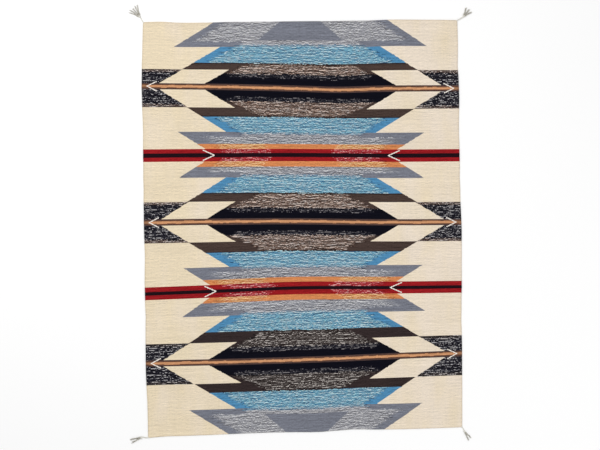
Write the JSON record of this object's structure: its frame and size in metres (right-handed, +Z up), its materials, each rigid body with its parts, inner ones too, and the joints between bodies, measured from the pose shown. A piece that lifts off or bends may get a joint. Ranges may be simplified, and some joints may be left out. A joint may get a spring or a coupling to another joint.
{
  "type": "southwest style flat-woven wool rug",
  "caption": "Flat-woven wool floor rug with serrated diamonds, stripes and chevrons on a cream ground, and a knotted yarn tassel at each corner.",
  "frame": {"origin": "middle of the rug's underside, on the floor that it lies on", "axes": "+Z up out of the rug's face, +Y along the warp towards the end with the two fanned tassels, +X across the weft"},
  "size_m": [1.6634, 2.1154, 0.0086],
  "materials": {
    "rug_wool": "matt tapestry weave in cream with blue, grey, brown, navy, orange and red wool",
    "tassel_yarn": "matt off-white plied wool yarn"
  },
  "bodies": {
    "root": {"rug": "rug_wool", "tassel_top_left": "tassel_yarn", "tassel_top_right": "tassel_yarn", "tassel_bottom_left": "tassel_yarn", "tassel_bottom_right": "tassel_yarn"}
  },
  "joints": []
}
